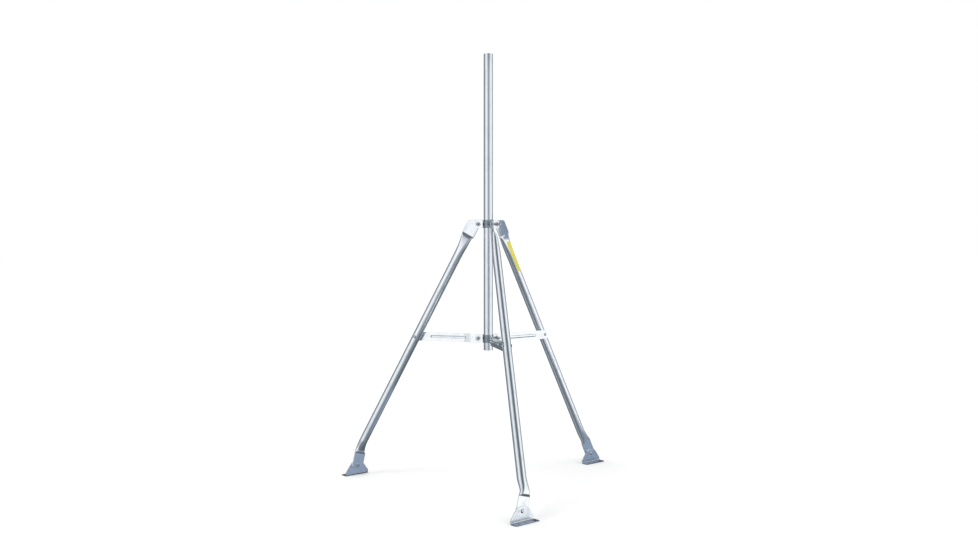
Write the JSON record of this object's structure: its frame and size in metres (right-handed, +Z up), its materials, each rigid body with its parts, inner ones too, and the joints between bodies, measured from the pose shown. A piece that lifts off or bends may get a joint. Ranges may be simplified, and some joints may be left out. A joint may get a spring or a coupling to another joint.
{
  "type": "tripod mast stand",
  "caption": "Galvanised steel tripod stand with a sliding tube mast, clamped collars, folding legs, flat brace arms and tilting L-shaped feet.",
  "frame": {"origin": "on the mast's axis, at floor level", "axes": "+Z up along the mast; +X towards leg a; the feet tilt about axes along Y"},
  "size_m": [1.0542, 1.0846, 1.78],
  "materials": {
    "mast_steel": "bright zinc, semi-gloss",
    "leg_steel": "bright zinc, semi-gloss",
    "sheet_steel": "bright zinc, satin",
    "foot_steel": "blue-tinted zinc, satin",
    "fastener": "zinc plated, semi-gloss",
    "label_yellow": "printed film, gloss"
  },
  "bodies": {
    "hub": {"top_clamp_ab": "sheet_steel", "top_clamp_bc": "sheet_steel", "top_clamp_ca": "sheet_steel", "top_bolt_a": "fastener", "top_bolt_b": "fastener", "top_bolt_c": "fastener", "top_nut_a": "fastener", "top_nut_b": "fastener", "top_nut_c": "fastener", "top_washers": "fastener"},
    "mast": {"mast_tube": "mast_steel"},
    "lower_collar": {"low_clamp_ab": "sheet_steel", "low_clamp_bc": "sheet_steel", "low_clamp_ca": "sheet_steel", "low_bolt_a": "fastener", "low_bolt_b": "fastener", "low_bolt_c": "fastener", "low_nut_a": "fastener", "low_nut_b": "fastener", "low_nut_c": "fastener", "low_washers": "fastener"},
    "leg_a": {"leg_a": "leg_steel", "arm_pin_a": "fastener", "foot_bolt_a": "fastener", "foot_nut_a": "fastener", "label": "label_yellow"},
    "arm_a": {"arm_a": "sheet_steel", "arm_pin_head_a": "fastener"},
    "foot_a": {"foot_a": "foot_steel"},
    "leg_b": {"leg_b": "leg_steel", "arm_pin_b": "fastener", "foot_bolt_b": "fastener", "foot_nut_b": "fastener"},
    "arm_b": {"arm_b": "sheet_steel", "arm_pin_head_b": "fastener"},
    "foot_b": {"foot_b": "foot_steel"},
    "leg_c": {"leg_c": "leg_steel", "arm_pin_c": "fastener", "foot_bolt_c": "fastener", "foot_nut_c": "fastener"},
    "arm_c": {"arm_c": "sheet_steel", "arm_pin_head_c": "fastener"},
    "foot_c": {"foot_c": "foot_steel"}
  },
  "joints": [
    {"name": "mast_slide", "type": "slide", "parent": "hub", "child": "mast", "axis": [0, 0, 1], "range_m": [-0.5, 0.025]},
    {"name": "collar_slide", "type": "slide", "parent": "hub", "child": "lower_collar", "axis": [0, 0, 1], "range_m": [0, 0.19699]},
    {"name": "leg_a_fold", "type": "hinge", "parent": "hub", "child": "leg_a", "pos_m": [0.044, 0, 1.076], "axis": [0, 1, 0], "range_deg": [0, 23.5]},
    {"name": "arm_a_fold", "type": "hinge", "parent": "lower_collar", "child": "arm_a", "pos_m": [0.044, 0, 0.602], "axis": [0, 1, 0], "range_deg": [0, 76.83]},
    {"name": "foot_a_tilt", "type": "hinge", "parent": "leg_a", "child": "foot_a", "pos_m": [0.63292, 0.01025, 0.04], "axis": [0, 1, 0], "range_deg": [-30, 30]},
    {"name": "leg_b_fold", "type": "hinge", "parent": "hub", "child": "leg_b", "pos_m": [-0.022, -0.0381, 1.076], "axis": [0.866, -0.5, 0], "range_deg": [0, 23.5]},
    {"name": "arm_b_fold", "type": "hinge", "parent": "lower_collar", "child": "arm_b", "pos_m": [-0.022, -0.0381, 0.602], "axis": [0.866, -0.5, 0], "range_deg": [0, 76.83]},
    {"name": "foot_b_tilt", "type": "hinge", "parent": "leg_b", "child": "foot_b", "pos_m": [-0.29516, -0.5128, 0.04], "axis": [0, 1, 0], "range_deg": [-30, 30]},
    {"name": "leg_c_fold", "type": "hinge", "parent": "hub", "child": "leg_c", "pos_m": [-0.022, 0.0381, 1.076], "axis": [-0.866, -0.5, 0], "range_deg": [0, 23.5]},
    {"name": "arm_c_fold", "type": "hinge", "parent": "lower_collar", "child": "arm_c", "pos_m": [-0.022, 0.0381, 0.602], "axis": [-0.866, -0.5, 0], "range_deg": [0, 76.83]},
    {"name": "foot_c_tilt", "type": "hinge", "parent": "leg_c", "child": "foot_c", "pos_m": [-0.30728, 0.5058, 0.04], "axis": [0, 1, 0], "range_deg": [-30, 30]}
  ],
  "couplings": [
    {"joint": "leg_a_fold", "follows": "collar_slide", "rad_per_m": 2.0821},
    {"joint": "arm_a_fold", "follows": "collar_slide", "rad_per_m": 6.8068},
    {"joint": "leg_b_fold", "follows": "collar_slide", "rad_per_m": 2.0821},
    {"joint": "arm_b_fold", "follows": "collar_slide", "rad_per_m": 6.8068},
    {"joint": "leg_c_fold", "follows": "collar_slide", "rad_per_m": 2.0821},
    {"joint": "arm_c_fold", "follows": "collar_slide", "rad_per_m": 6.8068}
  ]
}
